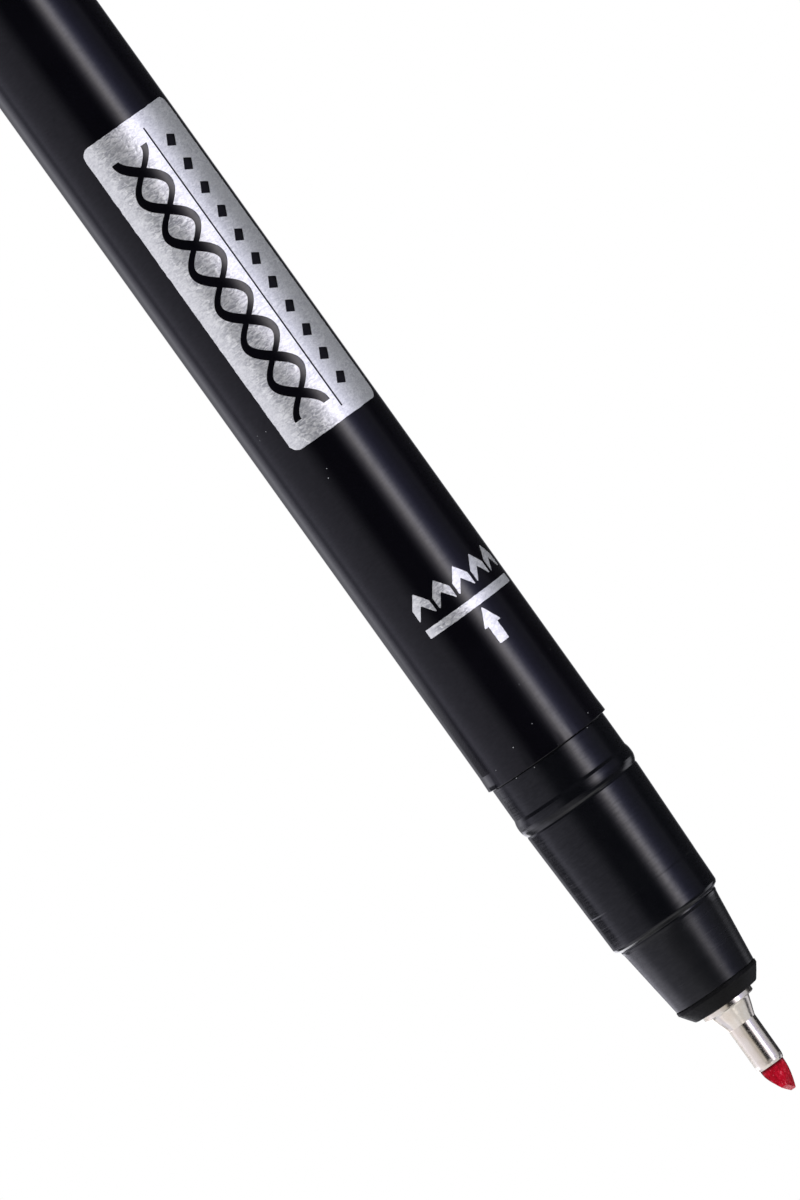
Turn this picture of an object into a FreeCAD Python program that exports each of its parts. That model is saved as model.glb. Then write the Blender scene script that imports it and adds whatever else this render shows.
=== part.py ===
import FreeCAD, Part
import math
import os
from FreeCAD import Vector

# Calligraphy marker with a fibre chisel nib, its cap drawn off in front of the nib.
# Millimetres. The pen's axis is Z. The origin is on the axis in the plane of the barrel's front
# rim: the barrel runs up from it (+Z), the nib points down (-Z), and the cap stands below the nib,
# mouth up. Names ending in _A are angles in degrees about the axis, from the -Y side towards -X.
# Outlines are (radius, z), or (radius, depth below the cap's rim) in the cap.

# ---- dimensions shared by several pieces ----------------------------------------------------
AXIS = Vector(0, 0, 1)
ORIGIN = Vector(0, 0, 0)

BARREL_R = 5.70
BARREL_BORE_R = 4.90
BARREL_L = 94.8
CONE_END_R = 3.81        # front end of the nose cone
CONE_END_Z = -23.25
HOLDER_R = 3.10          # nib holder's stem
NOSE_Z = -24.74          # front face of the nib holder
TUBE_R = 1.275           # outside of the ferrule's tube
NIB_R = 1.10
NIB_TIP_Z = -33.78
NIB_TAIL_Z = -8.5
RESERVOIR_R = 3.90
RESERVOIR_Z = (-12.5, 84.0)
FOIL_T = 0.04

CAP_GAP = 12.95          # nib tip to cap rim
CAP_RIM_Z = NIB_TIP_Z - CAP_GAP
CAP_L = 54.0
SHELL_L = 51.8
CAP_TOP_R = 6.15         # outside, at the closed end
CAP_SEAL_R = 5.50        # shell's bore around the inner seal and the crown
CAP_SEAL_DEPTH = 30.2
CLIP_A = -25.0


# ---- helpers --------------------------------------------------------------------------------
def lathe(outline):
    """Solid of revolution about Z. Items are (r, z), or ("arc", (r, z) on the arc, (r, z) end)."""
    edges = []
    here = outline[0]
    for item in outline[1:] + outline[:1]:
        end = item[2] if item[0] == "arc" else item
        start_point, end_point = Vector(here[0], 0, here[1]), Vector(end[0], 0, end[1])
        if item[0] == "arc":
            middle = Vector(item[1][0], 0, item[1][1])
            edges.append(Part.Arc(start_point, middle, end_point).toShape())
        else:
            edges.append(Part.makeLine(start_point, end_point))
        here = end
    return Part.Face(Part.Wire(edges)).revolve(ORIGIN, AXIS, 360)


def depth_z(depth):
    """Height of a depth below the cap's rim."""
    return CAP_RIM_Z - depth


def cap_lathe(outline):
    """Lathe with depths below the cap's rim in place of heights."""
    def place(point):
        return (point[0], depth_z(point[1]))

    return lathe([
        ("arc", place(item[1]), place(item[2])) if item[0] == "arc" else place(item)
        for item in outline
    ])


def outward(angle):
    turn = math.radians(angle)
    return Vector(-math.sin(turn), -math.cos(turn), 0)


def tangent(angle):
    turn = math.radians(angle)
    return Vector(-math.cos(turn), math.sin(turn), 0)


def extrude_polygon(points, direction):
    return Part.Face(Part.makePolygon(points + points[:1])).extrude(direction)


def local_box(angle, radial_span, side_span, z_span):
    """Box facing outward at an angle; each span is (low, high)."""
    out, side = outward(angle), tangent(angle)
    (r0, r1), (s0, s1), (z0, z1) = radial_span, side_span, z_span
    base = [
        out * r + side * s + Vector(0, 0, z0)
        for r, s in ((r0, s0), (r1, s0), (r1, s1), (r0, s1))
    ]
    return extrude_polygon(base, Vector(0, 0, z1 - z0))


def sector(r0, r1, z_span, angle_span):
    """Piece of a tube between two angles."""
    z0, z1 = z_span
    low, high = angle_span
    outer = Part.makeCylinder(r1, z1 - z0, Vector(0, 0, z0), AXIS, high - low)
    inner = Part.makeCylinder(r0, z1 - z0 + 2, Vector(0, 0, z0 - 1), AXIS, 360)
    piece = outer.cut(inner)
    piece.rotate(ORIGIN, AXIS, 270.0 - high)
    return piece


def cutter(points, angle):
    """Prism through the barrel's wall from (arc length from the angle, z) corners."""
    inner_r, outer_r = 4.8, 6.6
    out, side = outward(angle), tangent(angle)
    ring = [
        out * inner_r + side * (BARREL_R * math.sin(arc / BARREL_R)) + Vector(0, 0, z)
        for arc, z in points
    ]
    return extrude_polygon(ring, out * (outer_r - inner_r))


def save(name, shape):
    shape = shape.removeSplitter()
    solids = shape.Solids
    shape = solids[0] if len(solids) == 1 else Part.makeCompound(solids)
    shape.exportStep("parts/%s.step" % name)


# ---- barrel: open tube with six ribs that centre the reservoir ------------------------------
BARREL_CHAMFER = 0.15
RIB_COUNT = 6
RIB_R = 4.06             # the ribs' inner edge
RIB_Z = (11.0, 85.0)
RIB_W = 0.7
RIB_OVERLAP = 0.3        # into the barrel's wall


def barrel():
    tube = lathe([
        (BARREL_BORE_R, 0), (BARREL_R, 0), (BARREL_R, BARREL_L - BARREL_CHAMFER),
        (BARREL_R - BARREL_CHAMFER, BARREL_L), (BARREL_BORE_R, BARREL_L),
    ])
    rib_span = (RIB_R, BARREL_BORE_R + RIB_OVERLAP)
    return tube.fuse([
        local_box(360 // RIB_COUNT * i, rib_span, (-RIB_W / 2, RIB_W / 2), RIB_Z)
        for i in range(RIB_COUNT)
    ])


# ---- front section: spigot, land, snap bead, taper, round step, nose cone -------------------
SPIGOT_L = 9.0           # tail inside the barrel
LAND_R = 5.425           # just ahead of the barrel
BEAD_R = 5.545
TAPER_R = 5.335          # rear end of the long slow taper
SECTION_BORE_R = 4.10
HOLDER_SEAT_Z = -13.6


def front_section():
    return lathe([
        (SECTION_BORE_R + 0.2, SPIGOT_L), (BARREL_BORE_R - 0.3, SPIGOT_L),
        (BARREL_BORE_R, SPIGOT_L - 0.5), (BARREL_BORE_R, 0),
        (LAND_R, 0), (LAND_R, -3.05),
        ("arc", (5.502, -3.36), (BEAD_R, -3.80)),
        ("arc", (5.490, -4.32), (TAPER_R, -4.76)),
        (TAPER_R, -4.80), (5.055, -16.15),
        ("arc", (4.925, -16.43), (4.69, -16.60)),
        ("arc", (4.60, -16.96), (4.535, -17.40)),
        (CONE_END_R, CONE_END_Z), (HOLDER_R, CONE_END_Z), (HOLDER_R, HOLDER_SEAT_Z),
        (SECTION_BORE_R, HOLDER_SEAT_Z), (SECTION_BORE_R, SPIGOT_L - 0.3),
    ])


# ---- nib holder: stem with two air grooves, and the matte collar ahead of the nose cone -----
COLLAR_REAR_R = 3.87
COLLAR_FRONT_R = 3.06
HOLDER_TAIL_Z = -12.9
STEM_CHAMFER = 0.4
AIR_GROOVE_DEPTH = 0.55
AIR_GROOVE_W = 0.8


def nib_holder():
    holder = lathe([
        (TUBE_R, NOSE_Z), (COLLAR_FRONT_R - 0.06, NOSE_Z), (COLLAR_FRONT_R, NOSE_Z + 0.07),
        (COLLAR_REAR_R, CONE_END_Z - 0.08), (COLLAR_REAR_R, CONE_END_Z), (HOLDER_R, CONE_END_Z),
        (HOLDER_R, HOLDER_TAIL_Z - STEM_CHAMFER), (HOLDER_R - STEM_CHAMFER, HOLDER_TAIL_Z),
        (TUBE_R, HOLDER_TAIL_Z),
    ])
    return holder.cut([
        local_box(angle, (HOLDER_R - AIR_GROOVE_DEPTH, HOLDER_R + 0.4),
                  (-AIR_GROOVE_W / 2, AIR_GROOVE_W / 2), (CONE_END_Z + 0.3, HOLDER_TAIL_Z + 1))
        for angle in (90, 270)
    ])


# ---- nib ferrule: flange, cone, thin tube with a rolled-in mouth ----------------------------
FERRULE_TAIL_Z = -13.2
FLANGE_R = 2.33
FLANGE_Z = NOSE_Z - 0.50  # front face of the flange
FLANGE_CHAMFER = 0.08
FERRULE_CONE_R = 1.79
TUBE_END_Z = -31.05


def nib_ferrule():
    return lathe([
        (NIB_R, FERRULE_TAIL_Z), (TUBE_R, FERRULE_TAIL_Z), (TUBE_R, NOSE_Z), (FLANGE_R, NOSE_Z),
        (FLANGE_R, FLANGE_Z + FLANGE_CHAMFER), (FLANGE_R - FLANGE_CHAMFER, FLANGE_Z),
        (FERRULE_CONE_R + 0.02, FLANGE_Z), (FERRULE_CONE_R, -25.46),
        ("arc", (1.505, -26.14), (TUBE_R, -26.90)),
        (TUBE_R, -30.45),
        ("arc", (1.245, -30.80), (NIB_R + 0.05, TUBE_END_Z)),
        (NIB_R, TUBE_END_Z),
    ])


# ---- nib: fibre rod with a slanted chisel end -----------------------------------------------
NIB_EDGE = (-0.17, 0.33)   # the writing edge's two sides, off the axis
NIB_BEVEL = (0.547, 0.44)  # how fast each side's bevel opens, mm per mm back from the edge
NIB_SLANT = 0.365          # the writing edge rises by this, mm per mm across
NIB_TURN = 14.5            # degrees, clockwise seen from +Z
CHISEL_HALF_W = 2.0        # of the section across the edge
CHISEL_HALF_L = 3.0        # along the edge


def nib():
    rod = Part.makeCylinder(NIB_R, NIB_TAIL_Z - NIB_TIP_Z, Vector(0, 0, NIB_TIP_Z), AXIS, 360)
    # The section across the edge is extruded along the slanted edge, whose corner on the +Y
    # side of the rod, before turning, is the tip.
    edge_z = NIB_TIP_Z + NIB_SLANT * NIB_R
    top_z = NIB_TAIL_Z + 4
    reach = CHISEL_HALF_W
    section = [
        (NIB_EDGE[0], edge_z), (NIB_EDGE[1], edge_z),
        (reach, edge_z + (reach - NIB_EDGE[1]) / NIB_BEVEL[1]), (reach, top_z),
        (-reach, top_z), (-reach, edge_z + (reach + NIB_EDGE[0]) / NIB_BEVEL[0]),
    ]
    chisel = extrude_polygon(
        [Vector(x, -CHISEL_HALF_L, z + CHISEL_HALF_L * NIB_SLANT) for x, z in section],
        Vector(0, 2 * CHISEL_HALF_L, -2 * CHISEL_HALF_L * NIB_SLANT))
    chisel_nib = rod.common(chisel)
    chisel_nib.rotate(ORIGIN, AXIS, -NIB_TURN)
    return chisel_nib


# ---- ink reservoir, bored for the nib's tail, and its film ----------------------------------
WRAP_T = 0.10
WRAP_INSET = 0.3         # film's ends from the reservoir's


def ink_reservoir():
    front_z, rear_z = RESERVOIR_Z
    return lathe([
        (NIB_R, front_z), (RESERVOIR_R, front_z), (RESERVOIR_R, rear_z), (0, rear_z),
        (0, NIB_TAIL_Z), (NIB_R, NIB_TAIL_Z),
    ])


def reservoir_wrap():
    front_z, rear_z = RESERVOIR_Z[0] + WRAP_INSET, RESERVOIR_Z[1] - WRAP_INSET
    outer_r = RESERVOIR_R + WRAP_T
    return lathe([
        (RESERVOIR_R, front_z), (outer_r, front_z), (outer_r, rear_z), (RESERVOIR_R, rear_z),
    ])


# ---- end plug: spigot, cross fins up to the reservoir, flat end -----------------------------
PLUG_R = 5.62
PLUG_END_Z = 98.3
PLUG_SPIGOT_Z = 87.0
PLUG_BORE_R = BARREL_BORE_R - 0.9
PLUG_ROUND = 0.7         # rounding of the end's rim
PLUG_ROUND_INSET = 0.205  # the rounding's middle from both faces
FIN_T = 0.8


def end_plug():
    plug = lathe([
        (PLUG_BORE_R, PLUG_SPIGOT_Z), (BARREL_BORE_R - 0.25, PLUG_SPIGOT_Z),
        (BARREL_BORE_R, PLUG_SPIGOT_Z + 0.5), (BARREL_BORE_R, BARREL_L),
        (PLUG_R, BARREL_L), (PLUG_R, PLUG_END_Z - PLUG_ROUND),
        ("arc", (PLUG_R - PLUG_ROUND_INSET, PLUG_END_Z - PLUG_ROUND_INSET),
         (PLUG_R - PLUG_ROUND, PLUG_END_Z)),
        (0, PLUG_END_Z), (0, BARREL_L - 0.6), (PLUG_BORE_R, BARREL_L - 0.6),
    ])
    # Narrow fins reach the reservoir; wider ones run into the spigot's wall.
    return plug.fuse([
        local_box(angle, (-reach, reach), (-FIN_T / 2, FIN_T / 2), (front_z, BARREL_L - 0.3))
        for reach, front_z in ((3.6, RESERVOIR_Z[1] + 0.2), (4.2, PLUG_SPIGOT_Z + 0.4))
        for angle in (0, 90)
    ])


# ---- label foil: rounded block with an interlaced wave, a thin rule and lozenges left out ---
LABEL_Z = (31.33, 60.84)
LABEL_A = (-72.7, 27.0)
LABEL_CORNER = 0.8
CORNER_OVERCUT = 0.05
WAVE_A = -6.1
WAVE_Z = (33.3, 58.5)
WAVE_AMPLITUDE = 1.40
WAVE_LENGTH = 7.2
WAVE_STEPS = 24          # per wave length
STROKE_W = (0.42, 0.86)  # thinnest and thickest
RULE_Z = (32.29, 59.55)
RULE_A = (-29.2, -28.2)
LOZENGE_A = -44.6
LOZENGE_Z = (34.2, 57.5)  # centres of the first and the last
LOZENGE_COUNT = 11


def wave_stroke(phase):
    """Corners of a wave-shaped stroke, thick on one slope and thin on the other."""
    z0, z1 = WAVE_Z
    thin, thick = STROKE_W
    steps = int(round((z1 - z0) / WAVE_LENGTH * WAVE_STEPS))
    rate = 2 * math.pi / WAVE_LENGTH
    left, right = [], []
    for i in range(steps + 1):
        z = z0 + (z1 - z0) * i / steps
        arc = WAVE_AMPLITUDE * math.cos(rate * (z - z0) + phase)
        slope = -WAVE_AMPLITUDE * rate * math.sin(rate * (z - z0) + phase)
        length = math.hypot(1, slope)
        along_z, along_arc = 1 / length, slope / length
        half = (thin + (thick - thin) * (0.5 + 0.5 * along_arc)) / 2
        left.append((arc + along_z * half, z - along_arc * half))
        right.append((arc - along_z * half, z + along_arc * half))
    return left + right[::-1]


def label_corner(z, arc_sign, z_sign):
    """Waste outside a rounded corner; the signs point into the label."""
    size, over = LABEL_CORNER, CORNER_OVERCUT
    points = [(-over * arc_sign, z - over * z_sign), (size * arc_sign, z - over * z_sign)]
    for i in range(1, 6):
        turn = math.radians(90 * i / 6)
        points.append((arc_sign * size * (1 - math.sin(turn)),
                       z + z_sign * size * (1 - math.cos(turn))))
    points.append((-over * arc_sign, z + size * z_sign))
    return points


def label_foil():
    label = sector(BARREL_R, BARREL_R + FOIL_T, LABEL_Z, LABEL_A)
    for angle, arc_sign in zip(LABEL_A, (1, -1)):
        for z, z_sign in zip(LABEL_Z, (1, -1)):
            label = label.cut(cutter(label_corner(z, arc_sign, z_sign), angle))
    for phase in (0.0, math.pi):
        label = label.cut(cutter(wave_stroke(phase), WAVE_A))
    label = label.cut(sector(BARREL_R - 0.2, BARREL_R + 0.3, RULE_Z, RULE_A))
    first_z, last_z = LOZENGE_Z
    for i in range(LOZENGE_COUNT):
        z = first_z + i * (last_z - first_z) / (LOZENGE_COUNT - 1)
        lozenge = [(0.72, z - 0.25), (0.1, z + 0.62), (-0.72, z + 0.25), (-0.1, z - 0.62)]
        label = label.cut(cutter(lozenge, LOZENGE_A))
    return label


# ---- seat mark foil: line for the cap's rim, arrow towards the rear and five chevrons -------
SEAT_Z = (12.93, 13.73)
SEAT_HALF_A = 49.0
ARROW = [  # (arc length, z)
    (0, 12.69), (0.87, 11.05), (0.475, 11.05), (0.475, 9.43),
    (-0.475, 9.43), (-0.475, 11.05), (-0.87, 11.05),
]
CHEVRON_HALF_W = 0.84
CHEVRON_Z = 14.42
CHEVRON_RISE = 1.15
CHEVRON_LEG = 1.15       # stroke's height along z
CHEVRON_PITCH_A = 20.0


def seat_mark_foil():
    outer_r = BARREL_R + FOIL_T
    seat_angles = (CLIP_A - SEAT_HALF_A, CLIP_A + SEAT_HALF_A)
    marks = [sector(BARREL_R, outer_r, SEAT_Z, seat_angles)]
    skin = sector(BARREL_R, outer_r, (5.0, 20.0), (CLIP_A - 60, CLIP_A + 60))
    marks.append(skin.common(cutter(ARROW, CLIP_A)))
    half, low, high = CHEVRON_HALF_W, CHEVRON_Z, CHEVRON_Z + CHEVRON_LEG
    chevron = [
        (-half, low), (-half, high), (0, high + CHEVRON_RISE),
        (half, high), (half, low), (0, low + CHEVRON_RISE),
    ]
    for i in range(-2, 3):
        marks.append(skin.common(cutter(chevron, CLIP_A + CHEVRON_PITCH_A * i)))
    return Part.makeCompound([solid for mark in marks for solid in mark.Solids])


# ---- cap shell: bore over the barrel, stop shoulder, bore over the section, snap ridge ------
CAP_RIM_R = 6.60
CAP_BORE_R = 5.82        # runs over the barrel
SECTION_FIT_R = 5.62     # runs over the front section
STOP_DEPTH = 12.95       # shoulder that meets the barrel's rim
RIDGE_R = 5.58
RIDGE_DEPTH = 15.5
TAB_SLOT_HALF_W = 1.5    # slot for the clip's tab, in shell and crown


def tab_slot(radial_span, deep, shallow):
    return local_box(CLIP_A, radial_span, (-TAB_SLOT_HALF_W, TAB_SLOT_HALF_W),
                     (depth_z(deep), depth_z(shallow)))


def cap_shell():
    shell = cap_lathe([
        (CAP_BORE_R + 0.2, 0), (CAP_RIM_R - 0.3, 0),
        ("arc", (CAP_RIM_R - 0.09, 0.09), (CAP_RIM_R, 0.3)),
        (CAP_TOP_R, SHELL_L), (CAP_SEAL_R, SHELL_L), (CAP_SEAL_R, CAP_SEAL_DEPTH),
        (SECTION_FIT_R, CAP_SEAL_DEPTH), (SECTION_FIT_R, RIDGE_DEPTH + 0.4),
        ("arc", (RIDGE_R, RIDGE_DEPTH), (SECTION_FIT_R, RIDGE_DEPTH - 0.4)),
        (SECTION_FIT_R, STOP_DEPTH), (CAP_BORE_R, STOP_DEPTH), (CAP_BORE_R, 0.3),
    ])
    return shell.cut(tab_slot((4.6, 7.2), 49.6, 48.6))


# ---- cap inner seal: cup that closes on the nose cone, with four air grooves ----------------
def cap_inner_seal():
    seal = cap_lathe([
        (4.70, CAP_SEAL_DEPTH), (CAP_SEAL_R, CAP_SEAL_DEPTH), (CAP_SEAL_R, 35.4),
        (4.30, 37.0), (4.30, 49.2), (0, 49.2), (0, 48.4), (3.30, 48.4),
        (3.30, 37.8), (3.95, 36.4), (3.95, 36.0),
    ])
    groove_z = (depth_z(36.5), depth_z(CAP_SEAL_DEPTH - 1))
    return seal.cut([
        local_box(angle, (5.15, 6.0), (-0.6, 0.6), groove_z) for angle in (20, 110, 200, 290)
    ])


# ---- cap crown: plug with three vent holes and a pocket for the clip's tab ------------------
CROWN_ROUND = 0.8
CROWN_ROUND_INSET = 0.235  # the rounding's middle from both faces
VENT_R = 0.38
VENT_CIRCLE_R = 4.96
VENT_L = 9.0


def cap_crown():
    crown = cap_lathe([
        (0, 49.4), (4.40, 49.4), (4.40, 47.0), (CAP_SEAL_R - 0.1, 47.0), (CAP_SEAL_R, 47.2),
        (CAP_SEAL_R, SHELL_L), (CAP_TOP_R, SHELL_L), (CAP_TOP_R, CAP_L - CROWN_ROUND),
        ("arc", (CAP_TOP_R - CROWN_ROUND_INSET, CAP_L - CROWN_ROUND_INSET),
         (CAP_TOP_R - CROWN_ROUND, CAP_L)),
        (0, CAP_L),
    ])
    vents = []
    for angle in (35, 155, 275):
        foot = outward(CLIP_A + angle) * VENT_CIRCLE_R + Vector(0, 0, depth_z(CAP_L + 1))
        vents.append(Part.makeCylinder(VENT_R, VENT_L, foot, AXIS, 360))
    return crown.cut(vents + [tab_slot((3.9, 7.0), 49.75, 47.8)])


# ---- cap clip: hooked tab in the slot, bend, sloping arm, contact bend, flared end ----------
CLIP_T = 0.5
CLIP_W = 4.0
TAB_W = 2.5
TAB_DEPTH = 48.85        # the tab's face towards the cap's mouth
BEND_START_R = 7.30
BEND_R = 0.45            # inside radius of the bend
CLIP_ARM = [  # (radius, depth) down the inner face: arm, contact bend, flare
    (7.76, 48.30), (7.55, 40.0), (7.10, 28.0), (6.62, 19.2),
    (6.515, 18.2), (6.475, 17.6), (6.515, 17.0), (6.66, 16.3),
    (7.35, 14.2), (7.62, 13.6),
]


def clip_strip(points, width):
    out, side = outward(CLIP_A), tangent(CLIP_A)
    ring = [out * r + side * (-width / 2) + Vector(0, 0, depth_z(depth)) for r, depth in points]
    return extrude_polygon(ring, side * width)


def offset_line(path, distance):
    """Polyline shifted to its left, with mitred corners."""
    normals = []
    for (x0, y0), (x1, y1) in zip(path, path[1:]):
        length = math.hypot(x1 - x0, y1 - y0)
        normals.append((-(y1 - y0) / length, (x1 - x0) / length))
    shifted = []
    for (x, y), before, after in zip(path, normals[:1] + normals, normals + normals[-1:]):
        mitre = (before[0] + after[0], before[1] + after[1])
        scale = distance / (mitre[0] * before[0] + mitre[1] * before[1])
        shifted.append((x + mitre[0] * scale, y + mitre[1] * scale))
    return shifted


def cap_clip():
    tab_end = TAB_DEPTH + CLIP_T
    tab = clip_strip([
        (4.80, TAB_DEPTH - 0.5), (5.20, TAB_DEPTH - 0.5), (5.20, TAB_DEPTH),
        (7.35, TAB_DEPTH), (7.35, tab_end), (4.80, tab_end),
    ], TAB_W)
    inner = [(6.95, TAB_DEPTH), (BEND_START_R, TAB_DEPTH)]
    for i in range(1, 6):
        turn = math.radians(90 * i / 6)
        inner.append((BEND_START_R + BEND_R * math.sin(turn),
                      TAB_DEPTH - BEND_R * (1 - math.cos(turn))))
    inner += CLIP_ARM
    outer = offset_line(inner, CLIP_T)
    return tab.fuse(clip_strip(inner + outer[::-1], CLIP_W))


# Each function's name is its piece's file name.
os.makedirs("parts", exist_ok=True)
for piece in (
    barrel, front_section, nib_holder, nib_ferrule, nib, ink_reservoir, reservoir_wrap, end_plug,
    label_foil, seat_mark_foil, cap_shell, cap_inner_seal, cap_crown, cap_clip,
):
    save(piece.__name__, piece())
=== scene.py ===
import math
import random
from collections import namedtuple
from functools import reduce

import bmesh
import bpy
import numpy as np
from mathutils import Matrix, Vector, noise
from mathutils.geometry import delaunay_2d_cdt


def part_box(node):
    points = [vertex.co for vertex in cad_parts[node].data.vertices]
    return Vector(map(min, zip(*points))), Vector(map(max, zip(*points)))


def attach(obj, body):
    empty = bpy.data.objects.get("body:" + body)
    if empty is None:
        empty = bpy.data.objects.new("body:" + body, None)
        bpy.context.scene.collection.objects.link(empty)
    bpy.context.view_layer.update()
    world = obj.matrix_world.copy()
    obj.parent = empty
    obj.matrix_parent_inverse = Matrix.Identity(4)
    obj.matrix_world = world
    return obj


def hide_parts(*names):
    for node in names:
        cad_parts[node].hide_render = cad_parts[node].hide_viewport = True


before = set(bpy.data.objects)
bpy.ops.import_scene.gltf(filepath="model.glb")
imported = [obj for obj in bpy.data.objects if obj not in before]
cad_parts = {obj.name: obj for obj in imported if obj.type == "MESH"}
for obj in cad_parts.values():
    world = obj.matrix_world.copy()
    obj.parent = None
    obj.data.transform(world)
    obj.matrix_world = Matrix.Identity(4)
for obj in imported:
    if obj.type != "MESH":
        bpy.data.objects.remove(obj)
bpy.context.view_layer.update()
scene = bpy.context.scene
MM = 0.001


def low(node):
    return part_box(node)[0] / MM


def high(node):
    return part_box(node)[1] / MM


# Places along the axis, taken from the CAD pieces
RIM = low("barrel").z                # barrel rim at the nib end
BARREL_R = (high("barrel").x - low("barrel").x) / 2
BARREL_TOP = high("barrel").z
PLUG_TOP = high("end_plug").z
SECTION_END = low("front_section").z
HOLDER_END = low("nib_holder").z
TUBE_END = low("nib_ferrule").z
TIP = low("nib").z
CAP_RIM = high("cap_shell").z
SHELL_LENGTH = CAP_RIM - low("cap_shell").z
CROWN_END = low("cap_crown").z
LABEL_LOW, LABEL_HIGH = low("label_foil").z, high("label_foil").z
SEAT_LINE = low("seat_mark_foil").z + 3.50   # lower edge of the line round the barrel

# Sizes shared by several pieces
BARREL_BORE = 4.90
SEAM = 0.002                         # gap between pieces that meet end to end
NOSE_BORE = 3.10                     # section bore round the nib holder
TUBE_R = 1.275                       # outside of the nib's metal tube
CLIP_BEARING = -25.0
SLOT_NEAR, SLOT_FAR = 48.6, 49.6     # clip slot in the cap wall, depths below the cap rim
SLOT_HALF_WIDTH = 1.5
CLIP_TAB_DEPTH = 49.10               # middle of the clip's tab, below the cap rim
FOIL_BASE = BARREL_R + 0.003         # underside of the printed foils


# ------------------------------------------------------------------------------ geometry helpers


def around(radius, bearing):
    """(x, y) at a bearing in radians."""
    return -radius * math.sin(bearing), -radius * math.cos(bearing)


def cap_z(depth):
    return CAP_RIM - depth


def smoothstep(t):
    t = min(1.0, max(0.0, t))
    return t * t * (3 - 2 * t)


def make_object(name, verts, faces, sharp=28.0):
    """Smooth-shaded object; edges that turn by more than `sharp` degrees stay hard."""
    mesh = bpy.data.meshes.new(name)
    mesh.from_pydata([(x * MM, y * MM, z * MM) for x, y, z in verts], [], faces)
    mesh.validate(clean_customdata=False)
    bm = bmesh.new()
    bm.from_mesh(mesh)
    bmesh.ops.recalc_face_normals(bm, faces=bm.faces)
    for face in bm.faces:
        face.smooth = True
    for edge in bm.edges:
        if len(edge.link_faces) == 2 and edge.calc_face_angle(0.0) > math.radians(sharp):
            edge.smooth = False
    bm.to_mesh(mesh)
    bm.free()
    mesh.update()
    ob = bpy.data.objects.new(name, mesh)
    scene.collection.objects.link(ob)
    return ob


def skin(rings):
    """Quads between successive closed rings of vertex numbers."""
    faces = []
    for a, b in zip(rings, rings[1:]):
        for k in range(len(a)):
            after = (k + 1) % len(a)
            faces.append([a[k], a[after], b[after], b[k]])
    return faces


def fillet(points, steps=5, closed=True):
    """Outline from corners (x, y) or (x, y, radius); a corner with a radius becomes an arc."""
    out = []
    count = len(points)
    for i, point in enumerate(points):
        x, y, radius = (*point, 0.0)[:3]
        if radius <= 0 or (not closed and i in (0, count - 1)):
            out.append((x, y))
            continue
        corner = np.array((x, y), float)
        back = np.array(points[i - 1][:2], float) - corner
        ahead = np.array(points[(i + 1) % count][:2], float) - corner
        back_length, ahead_length = np.linalg.norm(back), np.linalg.norm(ahead)
        back, ahead = back / back_length, ahead / ahead_length
        angle = math.acos(max(-1, min(1, float(back @ ahead))))
        if angle > math.pi - 1e-3:
            out.append((x, y))
            continue
        # an arc never takes more than 0.48 of either neighbouring side
        cut = min(radius / math.tan(angle / 2), 0.48 * back_length, 0.48 * ahead_length)
        fitted = cut * math.tan(angle / 2)
        middle = (back + ahead) / np.linalg.norm(back + ahead)
        centre = corner + middle * (fitted / math.sin(angle / 2))
        start = corner + back * cut - centre
        end = corner + ahead * cut - centre
        side = math.copysign(1.0, float(start[0] * end[1] - start[1] * end[0]))
        for k in range(steps + 1):
            turn = side * (math.pi - angle) * k / steps
            c, s = math.cos(turn), math.sin(turn)
            out.append((float(centre[0] + start[0] * c - start[1] * s),
                        float(centre[1] + start[0] * s + start[1] * c)))
    return out


# A rectangular hole through a lathed wall; `angle` is measured from +X like the lathe's own
Window = namedtuple("Window", "angle half_width z_low z_high r_inner r_outer")


def angle_off(angle, centre):
    return (angle - centre + math.pi) % (2 * math.pi) - math.pi


def window_cells(profile, angles, window, half_angle):
    """Profile segments and angular columns that the window removes."""
    segments, columns = [], []
    for i, (r, z) in enumerate(profile):
        next_r, next_z = profile[(i + 1) % len(profile)]
        in_height = window.z_low < 0.5 * (z + next_z) < window.z_high
        if in_height and window.r_inner - 0.4 < 0.5 * (r + next_r) < window.r_outer + 0.4:
            segments.append(i)
    for k, angle in enumerate(angles):
        step = (angles[(k + 1) % len(angles)] - angle) % (2 * math.pi)
        if abs(angle_off(angle + step / 2, window.angle)) < half_angle:
            columns.append(k)
    columns.sort(key=lambda k: angle_off(angles[k], window.angle))
    return segments, columns


def window_walls(profile, rows, segments, columns):
    """Side walls of the window, from the outer skin to the inner one."""

    def low_high(i):
        after = (i + 1) % len(profile)
        if profile[i][1] < profile[after][1]:
            return rows[i], rows[after]
        return rows[after], rows[i]

    outer_low, outer_high = low_high(max(segments, key=lambda i: profile[i][0]))
    inner_low, inner_high = low_high(min(segments, key=lambda i: profile[i][0]))
    count = len(outer_low)
    faces = []
    for k in columns:
        after = (k + 1) % count
        faces.append([outer_low[k], outer_low[after], inner_low[after], inner_low[k]])
        faces.append([outer_high[k], outer_high[after], inner_high[after], inner_high[k]])
    for k in (columns[0], (columns[-1] + 1) % count):
        faces.append([outer_low[k], outer_high[k], inner_high[k], inner_low[k]])
    return faces


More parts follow.
